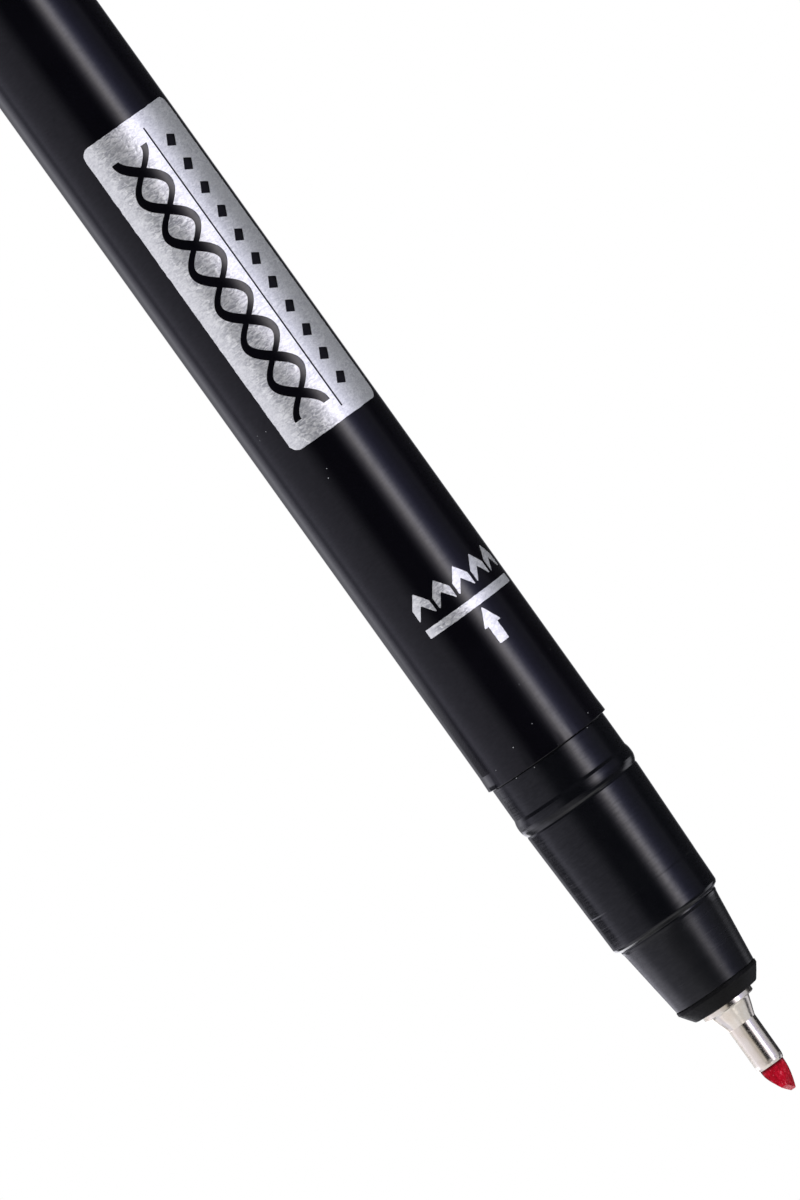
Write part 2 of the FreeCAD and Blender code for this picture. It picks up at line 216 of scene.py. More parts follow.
def lathe(name, profile, segments=256, sharp=28.0, wobble=None, window=None):
    """Solid of revolution from a closed (r, z) profile; wobble(r, z, angle) gives a new (r, z)."""
    angles = [2 * math.pi * k / segments for k in range(segments)]
    cut_segments, cut_columns = [], []
    if window:
        # columns move onto the window's two edges
        half = math.asin(window.half_width / (0.5 * (window.r_inner + window.r_outer)))
        slack = 0.3 * 2 * math.pi / segments
        angles = [a for a in angles if abs(abs(angle_off(a, window.angle)) - half) > slack]
        angles += [(window.angle + side * half) % (2 * math.pi) for side in (-1, 1)]
        angles.sort()
        cut_segments, cut_columns = window_cells(profile, angles, window, half)
    count = len(angles)
    verts, rows = [], []
    for r, z in profile:
        if r < 1e-6:
            rows.append([len(verts)] * count)
            verts.append((0.0, 0.0, z))
            continue
        rows.append(list(range(len(verts), len(verts) + count)))
        for a in angles:
            new_r, new_z = wobble(r, z, a) if wobble else (r, z)
            verts.append((new_r * math.cos(a), new_r * math.sin(a), new_z))
    faces = []
    for i, row in enumerate(rows):
        next_row = rows[(i + 1) % len(rows)]
        for k in range(count):
            if i in cut_segments and k in cut_columns:
                continue
            after = (k + 1) % count
            face = []
            for v in (row[k], row[after], next_row[after], next_row[k]):
                if not face or (face[-1] != v and face[0] != v):
                    face.append(v)
            if len(face) >= 3:
                faces.append(face)
    if window:
        faces += window_walls(profile, rows, cut_segments, cut_columns)
    return make_object(name, verts, faces, sharp)


def unevenness(seed, weakest, counts):
    """Function of the angle: the mean of sine waves, each with its count of periods per turn."""
    rng = random.Random(seed)
    waves = [(rng.uniform(weakest, 1.0), rng.uniform(0, 6.28), count) for count in counts]

    def value(angle, shift=0.0):
        total = sum(math.sin(count * angle + phase + shift) * strength
                    for strength, phase, count in waves)
        return total / len(waves)

    return value


# --------------------------------------------------------------------------------- shader helpers


class Graph:
    """Short ways to add nodes to a cleared shader tree; values may be numbers or sockets."""

    def __init__(self, tree):
        self.tree = tree
        tree.nodes.clear()

    def node(self, kind, **settings):
        node = self.tree.nodes.new(kind)
        for name, value in settings.items():
            setattr(node, name, value)
        return node

    def put(self, socket, value):
        if isinstance(value, bpy.types.NodeSocket):
            self.tree.links.new(value, socket)
        else:
            socket.default_value = (*value, 1.0) if isinstance(value, tuple) else value

    def math(self, operation, *values, clamp=False):
        node = self.node("ShaderNodeMath", operation=operation, use_clamp=clamp)
        for socket, value in zip(node.inputs, values):
            self.put(socket, value)
        return node.outputs[0]

    def add(self, *terms):
        return reduce(lambda a, b: self.math("ADD", a, b), terms)

    def times(self, *factors):
        return reduce(lambda a, b: self.math("MULTIPLY", a, b), factors)

    def remap(self, value, span=(0.3, 0.7), to=(0.0, 1.0), interpolation="LINEAR"):
        """Value carried from one range to another; the default span is a noise's usual reach."""
        node = self.node("ShaderNodeMapRange", interpolation_type=interpolation)
        for socket, item in zip(node.inputs, (value, *span, *to)):
            self.put(socket, item)
        return node.outputs[0]

    def ease(self, value, span, to=(0.0, 1.0)):
        return self.remap(value, span, to, "SMOOTHSTEP")

    def mix(self, factor, a, b, blend="MIX"):
        """Colour a at factor 0, colour b at factor 1."""
        node = self.node("ShaderNodeMix", data_type="RGBA", blend_type=blend)
        for index, value in ((0, factor), (6, a), (7, b)):
            self.put(node.inputs[index], value)
        return node.outputs[2]

    def ramp(self, value, *stops):
        """Colour ramp from (position, colour) stops."""
        node = self.node("ShaderNodeValToRGB")
        elements = node.color_ramp.elements
        while len(elements) > 1:
            elements.remove(elements[-1])
        for i, (position, colour) in enumerate(stops):
            element = elements.new(position) if i else elements[0]
            element.position = position
            element.color = (*colour, 1.0)
        self.put(node.inputs[0], value)
        return node.outputs[0]

    def xyz(self, vector):
        node = self.node("ShaderNodeSeparateXYZ")
        self.put(node.inputs[0], vector)
        return node.outputs

    def bearing(self, x, y):
        return self.math("ARCTAN2", self.times(x, -1.0), self.times(y, -1.0))

    def grey(self, value):
        node = self.node("ShaderNodeCombineColor")
        for i in range(3):
            self.put(node.inputs[i], value)
        return node.outputs[0]


class Material(Graph):
    """A Principled material whose textures use object coordinates in millimetres."""

    def __init__(self, name):
        self.material = bpy.data.materials.new(name)
        self.material.use_nodes = True
        super().__init__(self.material.node_tree)
        self.output = self.node("ShaderNodeOutputMaterial")
        self.surface = self.node("ShaderNodeBsdfPrincipled")
        self.put(self.output.inputs[0], self.surface.outputs[0])
        coordinates = self.node("ShaderNodeTexCoord").outputs["Object"]
        self.mm = self.mapping(coordinates, (1000, 1000, 1000))

    def mapping(self, vector, scale, shift=(0, 0, 0)):
        node = self.node("ShaderNodeMapping")
        node.inputs["Scale"].default_value = scale
        node.inputs["Location"].default_value = shift
        self.put(node.inputs["Vector"], vector)
        return node.outputs["Vector"]

    def set(self, **values):
        """Principled inputs, with underscores for the spaces in their names."""
        for name, value in values.items():
            self.put(self.surface.inputs[name.replace("_", " ")], value)

    def noise(self, scale, detail=3.0, rough=0.5, distortion=0.0, stretch=None, shift=(0, 0, 0)):
        """Noise; a small `stretch` factor draws the pattern out along that axis."""
        node = self.node("ShaderNodeTexNoise")
        self.put(node.inputs["Scale"], scale)
        self.put(node.inputs["Detail"], detail)
        self.put(node.inputs["Roughness"], rough)
        self.put(node.inputs["Distortion"], distortion)
        vector = self.mapping(self.mm, stretch, shift) if stretch else self.mm
        self.put(node.inputs["Vector"], vector)
        return node.outputs[0]

    def bump(self, height, strength, depth):
        node = self.node("ShaderNodeBump")
        self.put(node.inputs["Strength"], strength)
        self.put(node.inputs["Distance"], depth * MM)
        self.put(node.inputs["Height"], height)
        self.set(Normal=node.outputs[0])


# -------------------------------------------------------------------------------------- materials

# Grains of dust on the section and the barrel: (bearing, z, grain radius)
SPECKS = [
    (-51, 0.75, 0.040), (-43, -0.16, 0.045), (-10, 0.12, 0.040), (-3, 2.75, 0.034),
    (21, 2.05, 0.045), (34, 0.10, 0.032), (37, -0.14, 0.045), (17, -0.24, 0.038),
    (-28, 0.35, 0.028), (48, 1.3, 0.030), (12, 28.9, 0.036), (15.5, 28.2, 0.045),
    (37, 34.1, 0.034), (47.5, 34.2, 0.030), (48, 33.8, 0.030), (-13, 5.9, 0.028),
    (-61, 6.6, 0.030), (28, -7.4, 0.028), (-69, -4.7, 0.040), (-66, -10.2, 0.032),
    (160, 22.0, 0.035), (205, 8.4, 0.035), (120, 3.1, 0.035), (260, 40.0, 0.030),
    (98, 61.0, 0.032), (-100, 14.0, 0.030),
]


def dust(m, radius, z_low, z_high):
    """Mask of the specks between two heights, on a surface of this radius."""
    total = None
    for bearing, z, size in SPECKS:
        if not z_low <= z <= z_high:
            continue
        distance = m.node("ShaderNodeVectorMath", operation="DISTANCE")
        m.put(distance.inputs[0], m.mm)
        distance.inputs[1].default_value = (*around(radius, math.radians(bearing)), z)
        hit = m.math("LESS_THAN", distance.outputs["Value"], size)
        total = hit if total is None else m.math("ADD", total, hit, clamp=True)
    return total


def black_gloss(name, rough=0.085, dusty=False, relief=0.05):
    """Polished black: lengthwise streaks, soft clouds, wiped smudges and faint cross bands."""
    tone = (0.0023, 0.0021, 0.0035)
    m = Material(name)
    streak = m.noise(scale=2.6, detail=4.0, rough=0.6, stretch=(1.0, 1.0, 0.035))
    cloud = m.noise(scale=0.22)
    smudge = m.noise(scale=0.9, detail=5.0, rough=0.62, distortion=0.4,
                     stretch=(1.0, 1.0, 0.7), shift=(9, 2, 5))
    cross = m.noise(scale=5.5, detail=4.0, rough=0.65, stretch=(0.30, 0.30, 1.0), shift=(2, 6, 0))
    smudged = (0.50, 0.72)               # noise range over which a smudge sets in
    m.set(
        IOR=1.5,
        Roughness=m.add(m.remap(streak, to=(rough - 0.02, rough + 0.035)),
                        m.remap(cloud, to=(-0.012, 0.02)),
                        m.ease(smudge, span=smudged, to=(0.0, 0.030))),
        Specular_IOR_Level=m.math("SUBTRACT",
                                  m.remap(cross, span=(0.34, 0.66), to=(0.45, 0.55)),
                                  m.ease(smudge, span=smudged, to=(0.0, 0.04))))
    base = m.mix(m.remap(cloud, span=(0.3, 0.75)), tone, tuple(c * 1.35 for c in tone))
    if dusty:
        specks = dust(m, radius=BARREL_R + 0.01, z_low=-0.01, z_high=90)
        base = m.mix(specks, base, (0.42, 0.42, 0.45))
    m.set(Base_Color=base)
    fine = m.noise(scale=7.0, detail=2.0, stretch=(1.0, 1.0, 0.02))
    wave = m.noise(scale=0.45, detail=2.0, rough=0.4, stretch=(1.0, 1.0, 0.22))
    m.bump(m.add(m.times(fine, 0.25), wave), strength=relief, depth=0.05)
    return m.material


def black_satin(name):
    """Moulded plastic with fine turning rings; the cone at the nib end is rougher, and its colour is
    painted paler to stand in for the lighter reflections it catches.
    """
    m = Material(name)
    rings = m.noise(scale=6.5, detail=4.0, rough=0.65, stretch=(0.02, 0.02, 1.0))
    patch = m.noise(scale=0.6, rough=0.55, stretch=(1.0, 1.0, 0.5))
    scuff = m.noise(scale=5.0, detail=4.0, rough=0.7, stretch=(1, 1, 1), shift=(3, 1, 2))
    cone = m.ease(m.xyz(m.mm)[2], span=(-16.6, -17.2))
    arcs = m.noise(scale=7.0, rough=0.6, stretch=(0.22, 0.22, 1.0), shift=(4, 1, 0))
    sheen = m.add(m.times(arcs, 0.6), m.times(rings, 0.4))
    m.set(
        IOR=1.49,
        Roughness=m.add(m.remap(rings, span=(0.28, 0.72), to=(0.070, 0.160)),
                        m.remap(patch, to=(-0.015, 0.03)), m.times(cone, 0.11)),
        Specular_IOR_Level=m.remap(sheen, span=(0.40, 0.60), to=(0.41, 0.57)))
    base = m.mix(m.remap(patch), (0.0032, 0.0034, 0.0048), (0.0044, 0.0046, 0.0062))
    # painted reflection: the cone's colour is lifted paler for the lighter surroundings it mirrors
    base = m.mix(m.times(cone, 0.5), base, (0.0095, 0.0098, 0.0118))
    base = m.mix(m.remap(scuff, span=(0.66, 0.82), to=(0, 0.3)), base, (0.010, 0.010, 0.011))
    specks = dust(m, radius=5.43, z_low=-20, z_high=-0.05)
    m.set(Base_Color=m.mix(specks, base, (0.40, 0.40, 0.42)))
    m.bump(m.add(m.times(rings, 1.1), m.times(scuff, 0.25)), strength=0.16, depth=0.03)
    return m.material


def black_matte(name):
    m = Material(name)
    grit = m.noise(scale=6.0, detail=5.0, rough=0.72)
    rings = m.noise(scale=11.0, rough=0.6, stretch=(0.05, 0.05, 1.0))
    m.set(IOR=1.42, Specular_IOR_Level=0.22, Roughness=m.remap(grit, to=(0.40, 0.60)),
          Base_Color=m.mix(m.remap(grit, span=(0.42, 0.75)),
                           (0.0016, 0.0016, 0.0020), (0.0085, 0.0083, 0.0088)))
    m.bump(m.add(grit, m.times(rings, 0.6)), strength=0.5, depth=0.06)
    return m.material


def silver_foil(name):
    """Metallic foil with fine wrinkles round the barrel, strongest near bearing 0; besides their
    relief, the wrinkles are painted into the colour as light and dark streaks (painted reflections).
    """
    m = Material(name)
    x, y, _ = m.xyz(m.mm)
    bearing = m.bearing(x, y)
    warp = m.noise(scale=0.55, rough=0.6)
    rise = m.ease(bearing, span=(math.radians(-22), math.radians(-6)), to=(0.34, 1.0))
    fall = m.ease(bearing, span=(math.radians(10), math.radians(22)), to=(1.0, 0.26))
    sheen_zone = m.times(rise, fall, m.remap(warp, span=(0.36, 0.64), to=(0.55, 1.2)))
    wrinkle = m.noise(scale=4.8, detail=2.0, distortion=0.9, stretch=(0.44, 0.44, 1.0))
    fine = m.noise(scale=7.5, detail=2.0)
    lines = m.remap(wrinkle, span=(0.36, 0.64), to=(-1.0, 1.0))
    line_weight, fine_weight = 1.0, 0.22
    # painted reflection: the wrinkles also show as light and dark streaks in the base colour,
    # strongest near bearing 0 where the light picks them out
    grain = m.add(m.times(lines, sheen_zone, line_weight),
                  m.times(m.remap(fine, to=(-1.0, 1.0)), fine_weight))
    m.set(Metallic=0.83, IOR=1.5,
          Base_Color=m.mix(m.remap(grain, span=(-1.0, 1.0)),
                           (0.44, 0.445, 0.485), (0.975, 0.975, 0.985)),
          Roughness=m.add(m.remap(warp, to=(0.385, 0.42)), m.times(sheen_zone, 0.02)))
    m.bump(m.add(m.times(wrinkle, sheen_zone, 2.2), m.times(fine, 0.30)), strength=0.60, depth=0.042)
    return m.material


def plated(name):
    """Warm plated metal with turning marks, blotches and smears."""
    clean = (0.80, 0.765, 0.710)
    blotched = (clean[0] * 0.93, clean[1] * 0.89, clean[2] * 0.84)
    rough = 0.19
    m = Material(name)
    turning = m.noise(scale=8.0, rough=0.6, stretch=(0.03, 0.03, 1.0))
    blot = m.noise(scale=1.5, detail=4.0, rough=0.6, stretch=(1, 1, 0.6))
    smear = m.noise(scale=3.0, detail=5.0, rough=0.65, stretch=(1, 1, 0.8), shift=(7, 3, 1))
    m.set(Metallic=1.0,
          Base_Color=m.mix(m.remap(blot, span=(0.35, 0.7)), clean, blotched),
          Roughness=m.add(m.remap(turning, to=(rough - 0.03, rough + 0.05)),
                          m.remap(smear, span=(0.45, 0.75), to=(0.0, 0.09))))
    m.bump(m.add(turning, m.times(smear, 0.5)), strength=0.035, depth=0.02)
    return m.material


def brushed(name):
    m = Material(name)
    hair = m.noise(scale=16.0, detail=4.0, rough=0.65, stretch=(1.0, 1.0, 0.03))
    blot = m.noise(scale=0.5)
    m.set(Metallic=1.0,
          Base_Color=m.mix(m.remap(hair, span=(0.34, 0.66)),
                           (0.40, 0.40, 0.41), (0.60, 0.60, 0.61)),
          Roughness=m.add(m.remap(hair, to=(0.34, 0.46)), m.remap(blot, to=(-0.02, 0.04))))
    m.bump(hair, strength=0.12, depth=0.02)
    return m.material


def nib_fibre(name):
    """Inked fibre: lengthwise strands, a paler cut end, and painted shade on the rims and where the
    fibre enters the tube.
    """
    m = Material(name)
    strand = m.noise(scale=5.2, detail=5.0, rough=0.68, distortion=0.5, stretch=(1.0, 1.0, 0.42))
    clump = m.noise(scale=2.6, detail=4.0, rough=0.6, distortion=0.5,
                    stretch=(1.0, 1.0, 0.6), shift=(1, 0, 4))
    grain = m.noise(scale=8.0, rough=0.6)
    fleck = m.noise(scale=6.5, detail=2.0, stretch=(1.0, 1.0, 0.55), shift=(2, 5, 1))
    cut_end = m.node("ShaderNodeAttribute", attribute_name="cut_end").outputs["Fac"]
    side = m.ramp(m.add(m.times(strand, 0.6), m.times(clump, 0.4)),
                  (0.34, (0.22, 0.0008, 0.006)), (0.44, (0.42, 0.0014, 0.013)),
                  (0.54, (0.54, 0.0024, 0.021)), (0.64, (0.74, 0.02, 0.05)))
    face = m.ramp(grain, (0.34, (0.56, 0.02, 0.05)), (0.48, (0.86, 0.13, 0.17)),
                  (0.62, (1.0, 0.46, 0.48)))
    flecked = m.times(m.ease(fleck, span=(0.60, 0.70)), 0.6)
    side = m.mix(flecked, side, (0.88, 0.13, 0.19))
    colour = m.mix(m.ease(cut_end, span=(0.25, 0.75), to=(0, 0.95)), side, face)
    # painted shade: surfaces that face away from the view are darkened in the colour, except on the
    # cut end
    view = m.node("ShaderNodeLayerWeight")
    view.inputs["Blend"].default_value = 0.5
    facing_shade = m.ease(view.outputs["Facing"], span=(0.55, 0.92), to=(1.0, 0.25))
    facing_shade = m.math("MAXIMUM", facing_shade, m.ease(cut_end, span=(0.3, 0.7)))
    # painted shade: the fibre is darkened where it goes into the metal tube, standing in for the
    # shadow of the tube mouth
    root_shade = m.ease(m.xyz(m.mm)[2], span=(TUBE_END - 0.02, TUBE_END - 0.32), to=(0.30, 1.0))
    shade = m.grey(m.times(root_shade, facing_shade))
    m.set(IOR=1.4, Specular_IOR_Level=0.11, Roughness=m.remap(strand, to=(0.48, 0.72)),
          Base_Color=m.mix(1.0, colour, shade, blend="MULTIPLY"))
    m.bump(m.add(strand, m.add(m.times(clump, 0.8), m.times(grain, 0.35))),
           strength=1.0, depth=0.16)
    return m.material


def plain_fibre(name):
    m = Material(name)
    strand = m.noise(scale=5.0, detail=5.0, rough=0.7, stretch=(1.0, 1.0, 0.08))
    m.set(Base_Color=m.ramp(strand, (0.3, (0.32, 0.01, 0.03)), (0.7, (0.62, 0.06, 0.09))),
          Roughness=0.8)
    m.bump(strand, strength=0.6, depth=0.1)
    return m.material


def film(name):
    m = Material(name)
    crease = m.noise(scale=0.9, stretch=(1, 1, 0.3))
    m.set(Base_Color=m.mix(crease, (0.80, 0.81, 0.84), (0.9, 0.9, 0.92)),
          Roughness=m.remap(crease, to=(0.1, 0.25)), Alpha=0.5)
    m.bump(crease, strength=0.2, depth=0.1)
    return m.material


def seal_plastic(name):
    m = Material(name)
    cloud = m.noise(scale=1.2, detail=4.0, rough=0.6)
    m.set(Base_Color=m.mix(cloud, (0.66, 0.66, 0.63), (0.80, 0.80, 0.77)),
          Roughness=m.remap(cloud, to=(0.35, 0.5)),
          Subsurface_Weight=0.2, Subsurface_Scale=0.001)
    m.bump(cloud, strength=0.15, depth=0.05)
    return m.material


def red_gloss(name):
    m = Material(name)
    cloud = m.noise(scale=0.8, detail=4.0, rough=0.55)
    fine = m.noise(scale=8.0, rough=0.6)
    m.set(Base_Color=m.mix(m.remap(cloud), (0.42, 0.004, 0.016), (0.52, 0.007, 0.022)),
          Roughness=m.add(m.remap(cloud, to=(0.16, 0.24)),
                          m.remap(fine, span=(0.4, 0.7), to=(0.0, 0.04))),
          IOR=1.5)
    m.bump(fine, strength=0.06, depth=0.03)
    return m.material


BARREL_GLOSS = black_gloss("barrel_gloss", dusty=True)
CAP_GLOSS = black_gloss("cap_gloss", rough=0.10)
PLUG_SATIN = black_gloss("plug_satin", rough=0.22, relief=0.04)
SECTION_SATIN = black_satin("section_satin")
HOLDER_MATTE = black_matte("holder_matte")
FERRULE_PLATED = plated("ferrule_plated")
NIB_FIBRE = nib_fibre("nib_fibre")
SILVER_FOIL = silver_foil("silver_foil")
CLIP_STEEL = brushed("clip_steel")
CROWN_RED = red_gloss("crown_red")
SEAL_PLASTIC = seal_plastic("seal_plastic")
RESERVOIR_FIBRE = plain_fibre("reservoir_fibre")
WRAP_FILM = film("wrap_film")


def paint(ob, material):
    ob.data.materials.clear()
    ob.data.materials.append(material)


def finish_piece(ob, body, material, node):
    paint(ob, material)
    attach(ob, body)
    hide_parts(node)


# --------------------------------------------------------------------------------- barrel and grip
# Every profile table below lists corners as (radius, z, corner radius).


def build_barrel():
    """Barrel tube with a faint lip, slightly uneven, at its nib end."""
    lip = 0.055
    profile = fillet([
        (BARREL_BORE, RIM), (BARREL_R + lip, RIM, 0.05), (BARREL_R + lip * 0.75, RIM + 0.45, 0.4),
        (BARREL_R + 0.006, RIM + 1.35, 0.9), (BARREL_R, RIM + 3.0),
        (BARREL_R, BARREL_TOP - 0.02, 0.12), (BARREL_R - 0.15, BARREL_TOP),
        (BARREL_BORE, BARREL_TOP),
    ])
    wave = unevenness(seed=11, weakest=0.5, counts=(3, 7, 13, 29, 47))

    def wobble(r, z, angle):
        if z < RIM + 0.5 and r > 5.5:
            w = wave(angle)
            return r + 0.016 * w, z + (0.02 * w if z < RIM + 0.02 else 0.0)
        return r, z

    return lathe("barrel_tube", profile, 320, wobble=wobble)


def build_section():
    """Grip section: a raised ring near the rim, a long taper, then a step into a short cone."""
    profile = fillet([
        (4.30, 9.0), (4.60, 9.0, 0.1), (BARREL_BORE, 8.5), (BARREL_BORE, RIM - SEAM),
        (5.37, RIM - SEAM, 0.05), (5.438, RIM - 0.10, 0.1), (5.445, -2.2), (5.445, -3.12, 0.08),
        (5.530, -3.40, 0.12), (5.562, -3.64, 0.2), (5.572, -3.95, 0.2), (5.558, -4.13, 0.15),
        (5.520, -4.32, 0.2), (5.440, -4.53, 0.1), (5.322, -4.745, 0.05), (5.365, -4.90, 0.05),
        (5.352, -5.5), (5.2098, -10.5), (5.1430, -13.04), (5.1415, -13.10), (5.1330, -13.14),
        (5.1310, -13.20), (5.085, -15.2), (5.055, -16.22, 0.22), (4.955, -16.42, 0.10),
        (4.605, -16.66, 0.10), (4.625, -16.80, 0.1), (4.55, -17.05, 0.3), (4.49, -17.45, 0.5),
        (4.15, -20.3), (3.795, SECTION_END + 0.05, 0.04), (3.76, SECTION_END),
        (NOSE_BORE, SECTION_END), (NOSE_BORE, -13.6), (4.10, -13.6), (4.10, 8.7),
    ])
    return lathe("section_sleeve", profile, 288, sharp=40)


def build_holder():
    """Collar that closes the section's nose, with slightly rough edges."""
    seam = 0.003
    profile = fillet([
        (TUBE_R, HOLDER_END), (2.97, HOLDER_END, 0.05), (3.045, HOLDER_END + 0.06, 0.05),
        (3.46, SECTION_END - 0.86), (3.835, SECTION_END - 0.315, 0.07),
        (3.845, SECTION_END - 0.06, 0.03), (3.80, SECTION_END - seam),
        (NOSE_BORE, SECTION_END - seam), (NOSE_BORE, -13.3), (2.70, -12.9), (TUBE_R, -12.9),
    ])
    wave = unevenness(seed=5, weakest=0.4, counts=(5, 11, 23, 41, 67))

    def wobble(r, z, angle):
        if z >= SECTION_END + 0.2 or r <= 2.6:
            return r, z
        ridge = 0.0                      # short bulges on the widest band
        if SECTION_END - 0.40 < z < SECTION_END - 0.02:
            ridge = 0.045 * max(0.0, math.sin(9 * angle + 1.0) * math.sin(4 * angle + 0.4))
        return r + 0.020 * wave(angle, shift=z * 3.0) + ridge, z

    return lathe("nose_collar", profile, wobble=wobble, sharp=35)


def build_ferrule():
    """Metal sleeve: a flange under the holder, a flare, and the long tube round the nib."""
    top = HOLDER_END
    profile = fillet([
        (1.10, -13.2), (TUBE_R, -13.2), (TUBE_R, top + 0.001), (2.27, top + 0.001),
        (2.335, top - 0.06, 0.05), (2.335, top - 0.43, 0.05), (2.25, top - 0.505, 0.05),
        (1.87, top - 0.515, 0.04), (1.80, top - 0.66, 0.12), (1.60, top - 1.28, 0.9),
        (1.37, top - 1.90, 0.9), (TUBE_R, top - 2.20, 0.35), (1.272, -29.0),
        (1.268, TUBE_END + 0.55, 0.4), (1.235, TUBE_END + 0.25, 0.3),
        (1.165, TUBE_END + 0.03, 0.07), (1.10, TUBE_END + 0.015, 0.02), (1.10, TUBE_END + 0.3),
    ], steps=6)
    return lathe("nib_sleeve", profile, 224, sharp=40)


finish_piece(build_barrel(), "pen", BARREL_GLOSS, "barrel")
finish_piece(build_section(), "pen", SECTION_SATIN, "front_section")
finish_piece(build_holder(), "pen", HOLDER_MATTE, "nib_holder")
ferrule = build_ferrule()
finish_piece(ferrule, "pen", FERRULE_PLATED, "nib_ferrule")


# -------------------------------------------------------------------------------------------- nib
NIB_SEGMENTS = 208
NIB_R = 1.092
NIB_TURN = math.radians(14.5)        # turn of the chisel edge about the axis
NIB_SLANT = 0.365                    # rise of the edge per millimetre across the nib
NIB_EDGE_Z = TIP + NIB_SLANT * 1.10  # height of the edge's middle
NIB_START = TUBE_END + 1.2           # upper end, hidden in the tube
# Rings of the worn rim and the end face: (height over the edge, shrink, cut_end value)
NIB_END_RINGS = [(0.060, 0.998, 0.0), (0.032, 0.985, 0.3), (0.012, 0.955, 0.8), (0.002, 0.90, 1.0),
                 (0.0, 0.72, 1.0), (0.0, 0.48, 1.0), (0.0, 0.24, 1.0)]


def nib_ring(height, shrink=1.0, cut_end=0.0):
    """Points of one ring: a circle trimmed by the two bevels, with fibrous relief."""
    half_minus = 0.17 + 0.547 * height
    half_plus = 0.33 + 0.44 * height + 0.02 * math.sin(min(math.pi, height * 1.9))
    lean = NIB_SLANT * (1.0 - smoothstep((height - 1.75) / 0.9))
    turn_c, turn_s = math.cos(NIB_TURN), math.sin(NIB_TURN)
    points = []
    for k in range(NIB_SEGMENTS):
        angle = 2 * math.pi * k / NIB_SEGMENTS
        c, s = math.cos(angle), math.sin(angle)
        half = half_plus if c > 0 else half_minus
        rho = ((1 / NIB_R) ** 10 + (abs(c) / half) ** 10) ** -0.1
        z = NIB_EDGE_Z + height - lean * rho * s
        exposed = min(1.0, max(0.0, (TUBE_END - 0.1 - z) / 0.5))
        coarse = noise.noise(Vector((c * 5.2 * rho + 3, s * 5.2 * rho, z * 1.3)))
        fine = noise.noise(Vector((c * 12 * rho, s * 12 * rho + 7, z * 2.4)))
        rho = (rho + 0.016 * (coarse + 0.6 * fine) * exposed) * shrink
        x, y = rho * c, rho * s
        fade = 1.0 if cut_end > 0 else max(0.0, 1 - height / 0.3)
        rough = 0.016 * noise.noise(Vector((x * 7, y * 7, 5.0))) * fade
        points.append((x * turn_c + y * turn_s, -x * turn_s + y * turn_c,
                       NIB_EDGE_Z + height + rough - lean * rho * s))
    return points


def build_nib():
    """Round fibre rod that ends in a blunt, slanted chisel with worn corners."""
    heights = [*np.linspace(NIB_START - NIB_EDGE_Z, 2.45, 4), *np.linspace(2.38, 0.10, 58)]
    verts, cut_end, rings = [], [], []
    for height, shrink, mark in [(float(h), 1.0, 0.0) for h in heights] + NIB_END_RINGS:
        rings.append(list(range(len(verts), len(verts) + NIB_SEGMENTS)))
        verts += nib_ring(height, shrink, mark)
        cut_end += [mark] * NIB_SEGMENTS
    tip, top = len(verts), len(verts) + 1
    verts += [(0, 0, NIB_EDGE_Z), (0, 0, NIB_START)]
    cut_end += [1.0, 0.0]
    first, last = rings[0], rings[-1]
    after = [(k + 1) % NIB_SEGMENTS for k in range(NIB_SEGMENTS)]
    faces = skin(rings)
    faces += [[last[k], last[after[k]], tip] for k in range(NIB_SEGMENTS)]
    faces += [[first[after[k]], first[k], top] for k in range(NIB_SEGMENTS)]
    ob = make_object("chisel_nib", verts, faces, sharp=60)
    attribute = ob.data.attributes.new("cut_end", "FLOAT", "POINT")
    attribute.data.foreach_set("value", np.array(cut_end, np.float32))
    return ob


finish_piece(build_nib(), "pen", NIB_FIBRE, "nib")


# ------------------------------------------------------------------------------------------ foils
# Foil outlines are drawn flat as (u, z); u is arc length on the barrel from -Y towards -X.


def arc(bearing):
    return math.radians(bearing) * BARREL_R


def inside(polygon, points):
    """Even-odd test of points against one polygon."""
    x, y = points[:, 0], points[:, 1]
    result = np.zeros(len(points), bool)
    polygon = np.asarray(polygon, float)
    for i, (xi, yi) in enumerate(polygon):
        xj, yj = polygon[i - 1]
        crosses = (yi > y) != (yj > y)
        # the tiny term keeps level edges, which never cross, from dividing by zero
        result ^= crosses & (x < (xj - xi) * (y - yi) / (yj - yi + 1e-30) + xi)
    return result


def dense(polygon, step):
    """Polygon with points added so that no side is longer than step."""
    out = []
    for i, point in enumerate(polygon):
        a, b = np.array(point, float), np.array(polygon[(i + 1) % len(polygon)], float)
        parts = max(1, int(math.ceil(np.linalg.norm(b - a) / step)))
        out += [tuple(a + (b - a) * k / parts) for k in range(parts)]
    return out


def ragged(polygon, step, size, seed):
    """Dense outline with a tiny irregular wander."""
    rng = random.Random(seed)
    points = dense(polygon, step)
    count = len(points)
    wander = [rng.gauss(0, 1) for _ in range(count)]
    out = []
    for i, (x, y) in enumerate(points):
        after = (i + 1) % count
        offset = (wander[i - 1] + 2 * wander[i] + wander[after]) / 4
        dx = points[after][0] - points[i - 1][0]
        dy = points[after][1] - points[i - 1][1]
        length = math.hypot(dx, dy) or 1.0
        out.append((x - dy / length * offset * size, y + dx / length * offset * size))
    return out


def rounded(polygon, radius, steps):
    return fillet([(x, y, radius) for x, y in polygon], steps)


def rectangle(u0, u1, z0, z1):
    return [(u0, z0), (u1, z0), (u1, z1), (u0, z1)]


def ribbon(z0, z1, centre, phase, swing=1.40, wavelength=7.2, thin=0.42, thick=0.86):
    """Sine-wave band, thick where it runs one way across and thin the other way."""
    count = int(round((z1 - z0) / wavelength * 2 * 30))
    k = 2 * math.pi / wavelength
    left, right = [], []
    for i in range(count + 1):
        z = z0 + (z1 - z0) * i / count
        u = centre + swing * math.cos(k * (z - z0) + phase)
        slope = -swing * k * math.sin(k * (z - z0) + phase)
        length = math.hypot(1, slope)
        along_z, along_u = 1 / length, slope / length
        width = thin + (thick - thin) * (0.5 + 0.5 * along_u)
        left.append((u + along_z * width / 2, z - along_u * width / 2))
        right.append((u - along_z * width / 2, z + along_u * width / 2))
    return left + right[::-1]


